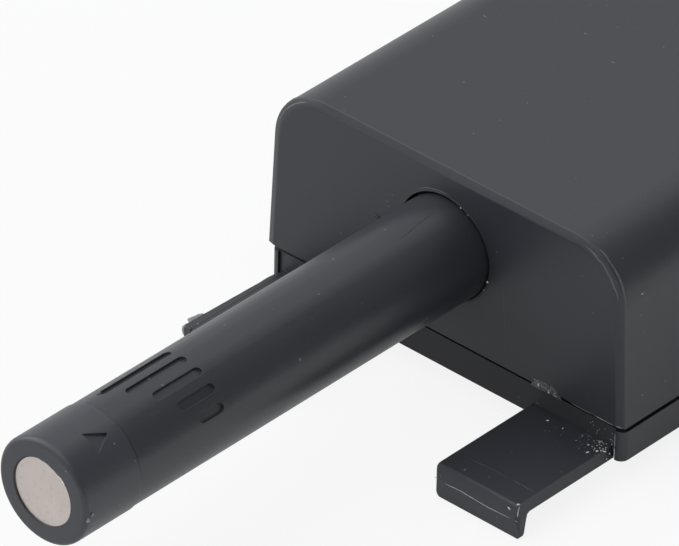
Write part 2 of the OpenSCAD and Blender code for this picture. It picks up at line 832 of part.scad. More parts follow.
// Head that is turned to set how far the tip reaches, with its shank
module tip_head() {
    head_r = head_d / 2;
    edge = 0.5;
    parting_gap = 0.08;
    color(plastic)
        difference() {
            translate([0, tip_y, axis_z])
                rotate([-90, 0, 0])
                    rotate_extrude() {
                        square([head_r - edge, head_l]);
                        translate([0, edge]) square([head_r, head_l - edge - parting_gap]);
                        translate([head_r - edge, edge]) circle(r = edge, $fn = 32);
                        square([shank_d / 2, head_l + shank_l]);
                    }
            axial(tip_y - 1, magnet_l + 1 + magnet_gap, magnet_d / 2 + magnet_gap);
            // Groove for the friction ring
            translate([0, ring_y, axis_z])
                rotate([-90, 0, 0])
                    rotate_extrude()
                        translate([shank_d / 2 - ring_d / 2 + thread_gap / 2, 0])
                            circle(r = ring_d / 2 + 0.03, $fn = 32);
            pointer();
        }
}

// Plain triangle that points from the head to the scale
module pointer() {
    pointer_l = 2;
    pointer_w = 2.2;
    pointer_back = 1.4;
    translate([0, 0, axis_z])
        rotate([0, 28, 0])
            translate([0, plunger_y - pointer_back, head_d / 2 - mark_depth])
                linear_extrude(mark_depth + 1)
                    polygon([[0, 0], [-pointer_w / 2, -pointer_l], [pointer_w / 2, -pointer_l]]);
}

module friction_ring() {
    color(rubber)
        translate([0, ring_y, axis_z])
            rotate([-90, 0, 0])
                rotate_extrude()
                    translate([shank_d / 2 - ring_d / 2 + thread_gap / 2, 0])
                        circle(d = ring_d, $fn = 32);
}

module magnet() {
    proud = 0.1;
    edge = 0.2;
    color("#c3bab4")
        translate([0, tip_y - proud, axis_z])
            rotate([-90, 0, 0]) {
                cylinder(h = edge, d1 = magnet_d - 2 * edge, d2 = magnet_d);
                translate([0, 0, edge]) cylinder(h = magnet_l + proud - edge, d = magnet_d);
            }
}

cover();
mounting_plate();
barrel();
front_guide();
buffer_ring();
cam_plate();
end_cap();
guide_rod();
main_spring();
plunger();
follower_pin();
follower_spring();
tip_head();
friction_ring();
magnet();
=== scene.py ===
# %% [markdown]
# # A push to open catch
#
# This file dresses a screw-on cabinet catch: a flat anthracite housing, a long
# round plunger that slides in and out of it, and a small magnet in the plunger's
# tip. The solid parts come ready made, each in its place. What is done here is
# the camera, the light, the finish of every part, the small traces that the
# moulding tools, the glue and the dust have left, and a few pieces that paint
# highlights and shade.

# %% The ready made parts
import math
import random

import bmesh
import bpy
from mathutils import Matrix, Vector, noise


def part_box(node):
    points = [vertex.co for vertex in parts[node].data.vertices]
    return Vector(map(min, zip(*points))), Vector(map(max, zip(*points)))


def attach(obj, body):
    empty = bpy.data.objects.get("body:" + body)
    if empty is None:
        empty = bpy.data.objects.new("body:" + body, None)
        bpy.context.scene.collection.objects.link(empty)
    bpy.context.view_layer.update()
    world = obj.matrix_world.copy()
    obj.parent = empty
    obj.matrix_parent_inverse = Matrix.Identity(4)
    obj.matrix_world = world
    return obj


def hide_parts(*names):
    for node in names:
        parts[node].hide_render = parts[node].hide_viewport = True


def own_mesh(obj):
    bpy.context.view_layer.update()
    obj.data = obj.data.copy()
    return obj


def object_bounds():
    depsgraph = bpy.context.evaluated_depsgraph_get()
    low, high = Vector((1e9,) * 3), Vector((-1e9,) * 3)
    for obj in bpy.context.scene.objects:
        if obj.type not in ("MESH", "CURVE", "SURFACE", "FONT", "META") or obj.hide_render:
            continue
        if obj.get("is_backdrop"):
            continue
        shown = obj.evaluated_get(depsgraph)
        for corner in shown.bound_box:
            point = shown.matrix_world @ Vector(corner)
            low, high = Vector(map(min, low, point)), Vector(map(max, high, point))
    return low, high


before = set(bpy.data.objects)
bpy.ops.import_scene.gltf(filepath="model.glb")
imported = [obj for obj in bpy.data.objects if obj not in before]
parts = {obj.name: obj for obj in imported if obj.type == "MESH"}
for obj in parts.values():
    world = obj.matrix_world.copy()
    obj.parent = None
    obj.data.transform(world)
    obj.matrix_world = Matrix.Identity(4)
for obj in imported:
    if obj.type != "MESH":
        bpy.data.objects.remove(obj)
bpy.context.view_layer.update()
print("parts:", ", ".join(sorted(parts)))

# %% [markdown]
# All lengths in Blender are in metres, and the catch is small, so a millimetre
# gets a name. X runs across the catch, +Y to its back and +Z up. The places that
# several cells need are read from the parts instead of being typed again.

# %% Places on the catch
MM = 0.001
cover_low, cover_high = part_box("cover")
plate_low, plate_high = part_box("mounting_plate")
magnet_low, magnet_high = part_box("magnet")
head_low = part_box("tip_head")[0]

front = cover_low.y
seam = cover_low.z
axis_z = (magnet_low.z + magnet_high.z) / 2
print("front at y", round(front / MM, 2), "mm, seam at z", round(seam / MM, 2), "mm")
print("plunger's axis at z", round(axis_z / MM, 2), "mm")

# %% [markdown]
# The parts come in as flat triangles, so a rounded corner would mirror the room in
# stripes. Three steps make it even without moving a point: weld the triangles,
# call an edge sharp where it really turns, and let large faces decide the normals
# next to them, so that flat faces stay flat.

# %% Even shading
SHARP_TURN = math.radians(18)
WELD_DISTANCE = 0.001 * MM


def even_shading_group():
    group = bpy.data.node_groups.new("even_shading", "GeometryNodeTree")
    for way in ("INPUT", "OUTPUT"):
        group.interface.new_socket("Geometry", in_out=way, socket_type="NodeSocketGeometry")
    start = group.nodes.new("NodeGroupInput")
    weld = group.nodes.new("GeometryNodeMergeByDistance")
    weld.inputs["Distance"].default_value = WELD_DISTANCE
    turning = group.nodes.new("GeometryNodeInputMeshEdgeAngle")
    sharp = group.nodes.new("FunctionNodeCompare")
    sharp.operation = "GREATER_THAN"
    sharp.inputs[1].default_value = SHARP_TURN
    normals = group.nodes.new("GeometryNodeSetMeshNormal")
    normals.inputs["Remove Custom"].default_value = True
    end = group.nodes.new("NodeGroupOutput")
    for output, socket in (
        (start.outputs[0], weld.inputs["Geometry"]),
        (turning.outputs["Unsigned Angle"], sharp.inputs[0]),
        (weld.outputs[0], normals.inputs["Mesh"]),
        (sharp.outputs[0], normals.inputs["Edge Sharpness"]),
        (normals.outputs[0], end.inputs[0]),
    ):
        group.links.new(output, socket)
    return group


even_shading = even_shading_group()
for part in parts.values():
    part.modifiers.new("even_shading", "NODES").node_group = even_shading
    by_area = part.modifiers.new("by_area", "WEIGHTED_NORMAL")
    by_area.keep_sharp = True
print("evenly shaded parts:", len(parts))

# %% [markdown]
# A product picture is taken from some distance with a long lens, which keeps
# parallel edges nearly parallel. The camera stands 0.9 metres away, to the right
# of the plunger and above it, with a lens of 557 mm. A constraint could keep it on
# its aim, but it never moves, so it is turned once to look at a point on top of
# the plunger, and then rolled by one degree.

# %% Camera
camera_place = Vector((492.50, -609.14, 525.63)) * MM
aim = Vector((0.954, -57.793, 18.050)) * MM
camera_roll = math.radians(1.158)

camera_data = bpy.data.cameras.new("camera")
camera_data.lens = 557.05
camera_data.sensor_width = 36
camera_data.clip_start = 0.05
camera_data.clip_end = 20
camera = bpy.data.objects.new("camera", camera_data)
bpy.context.scene.collection.objects.link(camera)
turn = (aim - camera_place).to_track_quat("-Z", "Y").to_matrix().to_4x4()
camera.matrix_world = (
    Matrix.Translation(camera_place) @ turn @ Matrix.Rotation(camera_roll, 4, "Z")
)
bpy.context.scene.camera = camera
bpy.context.scene.view_settings.view_transform = "Standard"
print("camera distance in m:", round((aim - camera_place).length, 3))

# %% [markdown]
# The catch lies on a pale table. Its two lips reach lower than its flat
# underside, so it leans back by less than two degrees: on the lips in front and
# on the plate's rear edge. The table is tilted to touch both, because the catch
# itself stays where it is.

# %% Table
LIP_AHEAD = 11 * MM
TABLE_SIZE = 6

lip_foot = Vector((0, front - LIP_AHEAD, plate_low.z))
rear_foot = Vector((0, plate_high.y, 0))
table_tilt = math.atan2(rear_foot.z - lip_foot.z, rear_foot.y - lip_foot.y)

bpy.ops.mesh.primitive_plane_add(size=TABLE_SIZE)
table = bpy.context.object
table.name = "table"
table.location = lip_foot
table.rotation_euler = (table_tilt, 0, 0)
table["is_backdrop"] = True
print("table tilt in degrees:", round(math.degrees(table_tilt), 2))

# %% [markdown]
# A dark glossy thing shows little colour of its own. What the eye reads as its
# shape is the room that it mirrors, so the room is designed like a lamp: white card
# on the left, and a dark side on the right that gives the plunger its dark middle
# band. Both are shader nodes, and these few helpers keep their wiring short to
# write. Light Path tells a shader who is asking, so that the background can look
# plain to the camera while the plastic still mirrors the lit room.

# %% Helpers for shader nodes
def add(tree, kind, **settings):
    """Adds a node. A setting sets the property or the socket of that name."""
    made = tree.nodes.new("ShaderNode" + kind)
    for name, value in settings.items():
        if hasattr(made, name):
            setattr(made, name, value)
        else:
            made.inputs[name.replace("_", " ")].default_value = value
    return made


def join(tree, output, socket):
    tree.links.new(output, socket)


def spread(tree, value, low, high, start=0.0, end=1.0, smooth=False):
    """Turns the range start to end of a value into the range low to high."""
    kind = "SMOOTHSTEP" if smooth else "LINEAR"
    ramp = add(tree, "MapRange", interpolation_type=kind)
    limits = {"From Min": start, "From Max": end, "To Min": low, "To Max": high}
    for socket, number in limits.items():
        ramp.inputs[socket].default_value = number
    join(tree, value, ramp.inputs["Value"])
    return ramp.outputs["Result"]


def combine(tree, operation, a, b):
    result = add(tree, "Math", operation=operation)
    for socket, value in zip(result.inputs, (a, b)):
        if isinstance(value, (int, float)):
            socket.default_value = value
        else:
            join(tree, value, socket)
    return result.outputs[0]


def seen_plainly(tree, by_camera, by_gloss):
    """Share of plain white that camera rays, and glossy or transmission rays, see."""
    path = add(tree, "LightPath")
    glossy, through = path.outputs["Is Glossy Ray"], path.outputs["Is Transmission Ray"]
    mirrored = combine(tree, "MAXIMUM", glossy, through)
    seen = combine(tree, "MULTIPLY", path.outputs["Is Camera Ray"], by_camera)
    return combine(tree, "MAXIMUM", seen, combine(tree, "MULTIPLY", mirrored, by_gloss))


print("helpers: add, join, spread, combine, seen_plainly")

# %% [markdown]
# The room is one world shader. A smooth ramp over the left and right direction goes
# from the bright card to the dark side. It could be built from real cards and black
# cloth, but a ramp has no edges that would show up as stripes on the round plunger.

# %% Room
CARD_LIGHT = 0.745
DARK_SIDE = 0.30
CARD_EDGE, DARK_EDGE = -0.12, 0.30

world = bpy.data.worlds.new("studio room")
bpy.context.scene.world = world
world.use_nodes = True
room = world.node_tree
room.nodes.clear()
direction = add(room, "TexCoord")
axes = add(room, "SeparateXYZ")
join(room, direction.outputs["Generated"], axes.inputs[0])
left_to_right = axes.outputs["X"]
lit_side = spread(room, left_to_right, CARD_LIGHT, DARK_SIDE, CARD_EDGE, DARK_EDGE, smooth=True)
card = add(room, "Background", Color=(0.97, 0.985, 1.0, 1))
white = add(room, "Background", Color=(1, 1, 1, 1), Strength=1.0)
choose = add(room, "MixShader")
room_out = add(room, "OutputWorld")
join(room, lit_side, card.inputs["Strength"])
join(room, seen_plainly(room, 1.0, 0.0), choose.inputs[0])
join(room, card.outputs[0], choose.inputs[1])
join(room, white.outputs[0], choose.inputs[2])
join(room, choose.outputs[0], room_out.inputs["Surface"])
print("room: card at", CARD_LIGHT, "and dark side at", DARK_SIDE)

# %% [markdown]
# The table is white paper with a faint fibre pattern. The camera sees most of it as
# plain white, so the picture stays clean, and the rest is lit for real, which keeps
# the soft shadow under the catch. In the mirrored view the real share is larger:
# the plastic near the table then shows the shadow that lies there.

# %% Table finish
PLAIN_TO_CAMERA = 0.86
PLAIN_TO_GLOSS = 0.22

paper = bpy.data.materials.new("table_paper")
paper.use_nodes = True
tree = paper.node_tree
tree.nodes.clear()
fibre = add(tree, "TexNoise", Scale=900.0, Detail=3.0)
where = add(tree, "TexCoord")
matt = add(tree, "BsdfDiffuse", Roughness=1.0)
plain = add(tree, "Emission", Color=(1, 1, 1, 1), Strength=1.0)
blend = add(tree, "MixShader")
paper_out = add(tree, "OutputMaterial")
join(tree, where.outputs["Object"], fibre.inputs["Vector"])
join(tree, spread(tree, fibre.outputs["Fac"], 0.82, 0.86), matt.inputs["Color"])
join(tree, seen_plainly(tree, PLAIN_TO_CAMERA, PLAIN_TO_GLOSS), blend.inputs[0])
join(tree, matt.outputs[0], blend.inputs[1])
join(tree, plain.outputs[0], blend.inputs[2])
join(tree, blend.outputs[0], paper_out.inputs["Surface"])
table.data.materials.append(paper)
print("table: white paper,", PLAIN_TO_CAMERA, "of it plain to the camera")

# %% [markdown]
# Two large soft lamps give the light its direction. One hangs above and a little in
# front, where no flat face of the catch mirrors it towards the camera, and one
# stands low on the left. Large lamps give soft edges to every highlight.

# %% Lamps
def soft_lamp(name, place, target, size, watts):
    data = bpy.data.lights.new(name, "AREA")
    data.shape = "RECTANGLE"
    data.size, data.size_y = size
    data.energy = watts
    lamp = bpy.data.objects.new(name, data)
    lamp.location = place
    towards = Vector(target) - Vector(place)
    lamp.rotation_euler = towards.to_track_quat("-Z", "Y").to_euler()
    bpy.context.scene.collection.objects.link(lamp)


middle = (0, -0.03, 0.01)
soft_lamp("lamp_above", (-0.30, -0.32, 1.10), middle, size=(1.9, 1.9), watts=10.5)
soft_lamp("lamp_left", (-0.95, -0.50, 0.45), middle, size=(1.0, 1.0), watts=4.8)

# %% [markdown]
# Nearly every part of the catch is moulded plastic or metal, and none of it is one
# flat colour. The unevenness could be painted on pictures, but noise in object
# coordinates is sharp at any distance and stays on a part when the part moves. Two
# kinds of helper are enough: patterns, and ways to mix or emboss them.

# %% Patterns and relief
def new_finish(name):
    finish = bpy.data.materials.new(name)
    finish.use_nodes = True
    tree = finish.node_tree
    tree.nodes.clear()
    shader = add(tree, "BsdfPrincipled")
    out = add(tree, "OutputMaterial")
    join(tree, shader.outputs[0], out.inputs["Surface"])
    return finish, tree, shader


def place_in_part(tree, stretch=(1, 1, 1)):
    """Object coordinates, stretched where a pattern has a direction."""
    where = add(tree, "TexCoord")
    scaled = add(tree, "Mapping")
    scaled.inputs["Scale"].default_value = stretch
    join(tree, where.outputs["Object"], scaled.inputs["Vector"])
    return scaled.outputs[0]


def cloud(tree, per_mm, detail=2.0, stretch=(1, 1, 1)):
    """Noise with about per_mm blotches in a millimetre."""
    pattern = add(tree, "TexNoise", Scale=per_mm / MM, Detail=detail)
    join(tree, place_in_part(tree, stretch), pattern.inputs["Vector"])
    return pattern.outputs["Fac"]


def tint(tree, factor, colour_a, colour_b):
    mixed = add(tree, "Mix", data_type="RGBA")
    join(tree, factor, mixed.inputs[0])
    for socket, value in ((mixed.inputs[6], colour_a), (mixed.inputs[7], colour_b)):
        if isinstance(value, tuple):
            socket.default_value = (*value, 1)
        else:
            join(tree, value, socket)
    return mixed.outputs[2]


def shade(colour, amount):
    return tuple(channel * amount for channel in colour)


def relief(tree, heights, shader, edge=0.0):
    """Bumps from (pattern, depth in mm), the coarsest first. Edges are rounded by edge mm."""
    last = add(tree, "Bevel", samples=6, Radius=edge * MM) if edge else None
    for pattern, depth in heights:
        bump = add(tree, "Bump", Strength=1.0, Distance=depth * MM)
        join(tree, pattern, bump.inputs["Height"])
        if last is not None:
            join(tree, last.outputs[0], bump.inputs["Normal"])
        last = bump
    join(tree, last.outputs[0], shader.inputs["Normal"])


print("helpers: new_finish, place_in_part, cloud, tint, shade, relief")

# %% [markdown]
# Real moulded plastic has faint clouds in its colour, a fine grain from the steel
# mould, slow waves in its gloss, thin rubbed scratches and a few specks of dust.
# Each one is a pattern of its own here. The colour is very dark: what looks grey in
# the picture is mostly the mirrored room.

# %% Moulded plastic
SATIN_IOR = 1.5
DUST_COLOUR = (0.25, 0.245, 0.235)
WORN_EDGE = 0.1


def moulded_plastic(name, colour, gloss, grain, scratch_way=(1, 1, 1), dust=0.5):
    """Satin plastic. A higher gloss number is duller, and grain is the relief's depth in mm."""
    finish, tree, shader = new_finish(name)
    slow = cloud(tree, 0.11, 3.0)
    fine = cloud(tree, 3.0, 2.0)
    grains = cloud(tree, 7.0, 2.0)
    rubbed = cloud(tree, 0.9, 4.0, scratch_way)
    specks = cloud(tree, 2.2, 0.0)

    body = tint(tree, slow, shade(colour, 0.92), shade(colour, 1.08))
    body = tint(tree, spread(tree, fine, 0, 0.35, 0.35, 0.7), body, shade(colour, 1.15))
    lines = spread(tree, rubbed, 0, 0.25, 0.66, 0.74)
    body = tint(tree, lines, body, shade(colour, 1.6))
    motes = spread(tree, specks, 0, dust, 0.85, 0.89)
    body = tint(tree, motes, body, DUST_COLOUR)
    join(tree, body, shader.inputs["Base Color"])

    roughness = spread(tree, slow, gloss - 0.05, gloss + 0.05)
    roughness = combine(tree, "ADD", roughness, spread(tree, fine, -0.03, 0.05))
    join(tree, roughness, shader.inputs["Roughness"])
    relief(tree, [(slow, 0.02), (grains, grain)], shader, WORN_EDGE)
    shader.inputs["IOR"].default_value = SATIN_IOR
    return finish


print("helper: moulded_plastic")

# %% [markdown]
# The housing's cover, its plate, the plunger and the tip head came from four moulds,
# so they differ a little in tone and gloss. The plate's colour is the cover's made
# lighter: painted light, which brightens faces that the lamps leave too dark. On the
# plunger and its head the rubbed scratches run lengthwise, the way they slide. One
# finish for all would be less work, but then the edges between the parts would
# hardly show.

# %% The catch's plastics
LENGTHWISE = (3, 0.25, 3)
housing_colour = (0.0262, 0.0276, 0.0342)
plunger_colour = (0.0280, 0.0293, 0.0360)
# Painted light: the plate's colour is a lighter copy of the cover's, to brighten its faces.
plate_lit_colour = shade(housing_colour, 1.22)
head_colour = shade(plunger_colour, 1.32)
inner_colour = (0.022, 0.0225, 0.025)
slide_colour = (0.66, 0.64, 0.57)
housing_finish = moulded_plastic("housing_plastic_satin", housing_colour, gloss=0.38, grain=0.0045)
plate_finish = moulded_plastic("plate_plastic_satin", plate_lit_colour, gloss=0.38, grain=0.0045)
plunger_finish = moulded_plastic(
    "plunger_plastic_satin", plunger_colour, gloss=0.34, grain=0.0025, scratch_way=LENGTHWISE
)
head_finish = moulded_plastic(
    "head_plastic_satin", head_colour, gloss=0.36, grain=0.003, scratch_way=LENGTHWISE
)
inner_finish = moulded_plastic("inner_plastic_dark", inner_colour, gloss=0.42, grain=0.003)
slide_finish = moulded_plastic(
    "slide_plastic_natural", slide_colour, gloss=0.42, grain=0.002, dust=0.0
)
print("plastics:", [m.name for m in bpy.data.materials if "plastic" in m.name])

# %% [markdown]
# The magnet is nickel plated. Its face was ground first, so it is a warm silver
# with small pits and slow dull smears. It is metal, so its colour comes from what it
# mirrors, and its gloss does the work. The springs and the rod are drawn steel wire,
# whose fine lines run along the wire, and the two rings are dull black rubber.

# %% Metals and rubber
def metal(name, colour, gloss, stretch, pits):
    """Metal with fine lines, stretched along the wire, and darker pits."""
    finish, tree, shader = new_finish(name)
    slow = cloud(tree, 0.35, 3.0)
    lines = cloud(tree, 5.0, 3.0, stretch)
    dots = cloud(tree, 2.6, 3.0)
    body = tint(tree, slow, shade(colour, 0.86), shade(colour, 1.05))
    body = tint(tree, spread(tree, dots, 0, pits, 0.58, 0.72), body, shade(colour, 0.45))
    join(tree, body, shader.inputs["Base Color"])
    roughness = spread(tree, slow, gloss - 0.06, gloss + 0.10)
    roughness = combine(tree, "ADD", roughness, spread(tree, lines, -0.04, 0.04))
    join(tree, roughness, shader.inputs["Roughness"])
    shader.inputs["Metallic"].default_value = 1.0
    relief(tree, [(dots, 0.010), (lines, 0.002)], shader)
    return finish


def rubber_finish():
    finish, tree, shader = new_finish("rubber_dull")
    slow = cloud(tree, 0.5, 3.0)
    fine = cloud(tree, 6.0, 2.0)
    body = tint(tree, slow, (0.012, 0.012, 0.013), (0.022, 0.022, 0.023))
    join(tree, body, shader.inputs["Base Color"])
    join(tree, spread(tree, fine, 0.62, 0.80), shader.inputs["Roughness"])
    relief(tree, [(fine, 0.006)], shader)
    return finish


EVENLY = (1, 1, 1)
ALONG_WIRE = (0.2, 1, 1)
nickel_colour = (0.685, 0.622, 0.585)
steel_colour = (0.55, 0.55, 0.56)
nickel_finish = metal("nickel_plated_face", nickel_colour, gloss=0.38, stretch=EVENLY, pits=0.26)
steel_finish = metal("spring_steel_drawn", steel_colour, gloss=0.28, stretch=ALONG_WIRE, pits=0.2)
rubber = rubber_finish()
print("metals:", nickel_finish.name, steel_finish.name)

# %% [markdown]
# Now every ready made part gets its finish. The parts inside can't be seen in the
# picture, but they show as soon as somebody hides the cover: the plate with the
# heart track is a natural, slippery plastic, and the channel that the plunger
# slides in is dark, with its plug and its guide.

# %% Each part gets its finish
finish_of = {
    "cover": housing_finish,
    "mounting_plate": plate_finish,
    "barrel": inner_finish,
    "end_cap": inner_finish,
    "front_guide": inner_finish,
    "cam_plate": slide_finish,
    "buffer_ring": rubber,
    "friction_ring": rubber,
    "guide_rod": steel_finish,
    "main_spring": steel_finish,
    "follower_pin": steel_finish,
    "follower_spring": steel_finish,
    "plunger": plunger_finish,
    "tip_head": head_finish,
    "magnet": nickel_finish,
}
for name, finish in finish_of.items():
    slots = parts[name].data.materials
    slots.clear()
    slots.append(finish)
print("finished parts:", len(finish_of), "of", len(parts))

# %% [markdown]
# The picture shows many small traces that no ready made part has, and each becomes
# a thin piece of its own. A piece is a mesh built point by point, it rides on the
# body that carries it, and it gets the finish that it is given. The three pairs
# below name a body and its slot. Wandering noise, and not chance, makes the traces
# uneven, so they come out alike every time.

# %% New pieces
ON_HOUSING = ("housing", "housing_plastic")
ON_PLUNGER = ("plunger", "plunger_plastic")
ON_TIP = ("tip_carrier", "plunger_plastic")


def new_piece(name, form, finish, body, slot, crease=180):
    """Turns a form into a piece. Edges that turn by more than crease degrees stay sharp."""
    mesh = bpy.data.meshes.new(name)
    bmesh.ops.recalc_face_normals(form, faces=form.faces)
    form.to_mesh(mesh)
    form.free()
    mesh.shade_smooth()
    mesh.set_sharp_from_angle(angle=math.radians(crease))
    piece = bpy.data.objects.new(name, mesh)
    bpy.context.scene.collection.objects.link(piece)
    mesh.materials.append(finish)
    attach(piece, body)
    return piece


def skin(form, rings):
    """Joins rings of points into a bar and closes its two ends."""
    count = len(rings[0])
    for a, b in zip(rings, rings[1:]):
        for j in range(count):
            k = (j + 1) % count
            form.faces.new((a[j], a[k], b[k], b[j]))
    form.faces.new(rings[0])
    form.faces.new(rings[-1])


def wander(place, rate, seed):
    """Smooth noise from 0 to 1 at a place in mm."""
    return 0.5 + 0.5 * noise.noise(Vector(place) * rate + Vector((seed * 7.3, seed * 3.1, seed)))


print("helpers: new_piece, skin, wander")

# %% [markdown]
# Close up, a moulding shows how it was made: a fine raised line where two halves
# of its mould meet, a ragged skin of flash where they didn't quite close, and
# marks of the knife that trimmed it. Each of these is a sliver: a path, and a low
# ridge along it whose width and height wander. The ridge tapers at its ends, as a
# real one fades out. A bump in the finish would be less work, but it can't stand
# out at an edge, where such marks are seen best.

# %% Slivers
SLIVER_STEP = 0.12
BLUNT_END = 0.15
SHOULDER_OUT, SHOULDER_UP = 0.55, 0.6


def trace(corners):
    """Points every SLIVER_STEP along straight stretches between corners in mm."""
    points = []
    for a, b in zip(corners, corners[1:]):
        a, b = Vector(a), Vector(b)
        count = max(1, round((b - a).length / SLIVER_STEP))
        points += [a.lerp(b, i / count) for i in range(count)]
    return points + [Vector(corners[-1])]


def add_sliver(form, corners, up, width, height, seed, sunk=0.03):
    """A low wandering ridge, in mm. Up points out of the surface that its feet are sunk in."""
    path = trace(corners)
    last = len(path) - 1
    length = max(last * SLIVER_STEP, 1)
    rings = []
    for i, place in enumerate(path):
        along = (path[min(i + 1, last)] - path[max(i - 1, 0)]).normalized()
        out = (up(place) if callable(up) else Vector(up)).normalized()
        across = along.cross(out).normalized()
        fade = min(1.0, BLUNT_END + 4 * min(i, last - i) * SLIVER_STEP / length)
        w = width * fade * (0.6 + 0.8 * wander(place, 1.7, seed)) / 2
        h = height * fade * (0.4 + 1.2 * wander(place, 2.9, seed + 5))
        drift = across * width * 0.5 * (wander(place, 1.1, seed + 9) - 0.5)
        left_half = [(-1, -sunk), (-SHOULDER_OUT, SHOULDER_UP * h)]
        right_half = [(SHOULDER_OUT, SHOULDER_UP * h), (1, -sunk)]
        rings.append([
            form.verts.new((place + drift + across * w * x + out * z) * MM)
            for x, z in left_half + [(0, h)] + right_half
        ])
    skin(form, rings)


def sliver_piece(name, lines, finish, body, slot):
    form = bmesh.new()
    for line in lines:
        add_sliver(form, **line)
    new_piece(name, form, finish, body, slot)


print("slivers: a point every", SLIVER_STEP, "mm")

# %% [markdown]
# Flash is so thin that it looks paler than the body it stands on. Real light goes
# through it, but at this size a paler colour is enough, and it renders faster: that
# paleness is painted light. The pale kind is a painted highlight as well, where a
# ridge or an edge catches the light. A dark kind serves where the flash lies flat
# on the plastic.

# %% Flash
def flash_finish(name, colour, gloss):
    finish, tree, shader = new_finish(name)
    uneven = cloud(tree, 2.5, 3.0)
    body = tint(tree, spread(tree, uneven, 0, 1, 0.3, 0.7), shade(colour, 0.6), colour)
    join(tree, body, shader.inputs["Base Color"])
    join(tree, spread(tree, uneven, gloss - 0.08, gloss + 0.12), shader.inputs["Roughness"])
    relief(tree, [(cloud(tree, 8.0, 2.0), 0.01)], shader)
    return finish


# Painted highlight: the pale flash stands for light caught on ridges and edges.
pale_flash_highlight = flash_finish("thin_flash_painted_highlight", (0.42, 0.42, 0.45), gloss=0.30)
dark_flash = flash_finish("thin_flash_dark", (0.060, 0.062, 0.070), gloss=0.30)
print("flash finishes:", pale_flash_highlight.name, dark_flash.name)

# %% [markdown]
# The parting lines of this catch run across the noses of both lips, across the top
# of both tabs and up the front of the cover. Both tabs come from one mould, so their
# lines follow the same paths, and a loop makes each pair. All places from here on
# are in millimetres.

# %% Parting and witness lines
FORWARD, UPWARD, RIGHT = (0, -1, 0), (0, 0, 1), (1, 0, 0)
nose_y = -55.03
tab_top = 1.2
cover_front = front / MM


def on_front(*places):
    """Puts (x, z) places on the cover's front."""
    return [(x, cover_front, z) for x, z in places]


nose_line = [
    (9.95, -0.33), (11.1, -0.42), (12.9, -0.34), (14.1, -0.38),
    (15.2, -0.46), (16.2, -0.48), (17.5, -0.44), (19.45, -0.36),
]
top_line = [(11.0, -52.62), (13.9, -52.40), (16.4, -52.36), (19.2, -52.36)]
for side, name in ((1, "right"), (-1, "left")):
    nose = [(side * x, nose_y, z) for x, z in nose_line]
    top = [(side * x, y, tab_top) for x, y in top_line]
    # The lips' parting lines are real ridges; their pale colour is partly a painted highlight.
    sliver_piece(f"lip_parting_line_{name}", [
        dict(corners=nose, up=FORWARD, width=0.13, height=0.05, seed=side + 3),
    ], pale_flash_highlight, *ON_HOUSING)
    sliver_piece(f"tab_witness_line_{name}", [
        dict(corners=top[:3], up=UPWARD, width=0.10, height=0.012, seed=side + 20),
        dict(corners=top[2:], up=UPWARD, width=0.12, height=0.03, seed=side + 30),
    ], dark_flash, *ON_HOUSING)

rising = on_front((6.83, 12.6), (7.2, 8.3), (7.55, 4.0))
sliver_piece("cover_witness_line", [
    dict(corners=rising, up=FORWARD, width=0.09, height=0.012, seed=41),
], dark_flash, *ON_HOUSING)
print("parting and witness lines: 5 pieces")

# %% [markdown]
# Flash also stands around the hole and on the edge of the plate's right corner. The
# plunger passes through the hole, so that flash lies on the cover's face outside
# the rim and never in the plunger's way. Its paths could be typed point by point,
# but as arcs about the plunger's axis they stay true to the hole.

# %% Flash around the hole
def angles(first, last, count):
    """Evenly spread angles, given in degrees and made in radians."""
    return [math.radians(first + (last - first) * i / count) for i in range(count + 1)]


def about_axis(radius, angle, y):
    """A place round the plunger's axis. The angle starts straight up."""
    return (radius * math.sin(angle), y, axis_z / MM + radius * math.cos(angle))


def round_hole(radius, first, last, behind=0.0):
    """An arc on the cover's front, its angles in degrees clockwise from straight up."""
    return [about_axis(radius, a, cover_front + behind) for a in angles(first, last, 14)]


beside_hole = on_front((-7.95, 12.75), (-7.46, 12.1))
sliver_piece("hole_flash", [
    dict(corners=round_hole(5.55, -38, 8), up=FORWARD, width=0.16, height=0.035, seed=51),
    dict(corners=round_hole(5.36, -55, 60), up=FORWARD, width=0.10, height=0.02, seed=52),
    dict(corners=beside_hole, up=FORWARD, width=0.12, height=0.03, seed=53),
], dark_flash, *ON_HOUSING)
rim = round_hole(5.19, 84, 158, behind=0.05)
sliver_piece("hole_rim_fill", [
    dict(corners=rim, up=FORWARD, width=0.26, height=0.03, seed=54),
], housing_finish, *ON_HOUSING)
print("flash around the hole: 2 pieces")

# %% [markdown]
# At the plate's right corner a pale ridge paints the highlight on the edge, broad
# below and thin above, and another one paints the highlight down the end of the
# lip. On top of the plunger something hard has left one fine, dull scratch. It is a
# sliver too, only lower.

# %% Painted highlights on the right corner, and the scratch
corner_edge = [(19.71, -42.80, z) for z in (0.15, 1.3, 2.8)]
lip_end = [(19.40, -54.78, 1.12), (19.44, -55.0, 0.75), (19.42, -55.03, 0.1)]
# Painted highlights: pale ridges on the plate's corner edge and down the lip's end.
sliver_piece("plate_corner_painted_highlight", [
    dict(corners=corner_edge[:2], up=FORWARD, width=0.16, height=0.05, seed=61),
    dict(corners=corner_edge[1:], up=FORWARD, width=0.09, height=0.03, seed=62),
    dict(corners=lip_end, up=(0.5, -1, 0.3), width=0.13, height=0.03, seed=63),
], pale_flash_highlight, *ON_HOUSING)

scratched_colour = (0.010, 0.010, 0.012)
scratched = moulded_plastic("plunger_scratched", scratched_colour, gloss=0.7, grain=0.004, dust=0.0)
scratch = [(1.18, -50.35, 17.96), (0.57, -45.36, 18.07)]
sliver_piece("plunger_scratch", [
    dict(corners=scratch, up=UPWARD, width=0.09, height=0.008, seed=63),
], scratched, *ON_PLUNGER)
print("right corner: 1 piece, scratch: 1 piece")

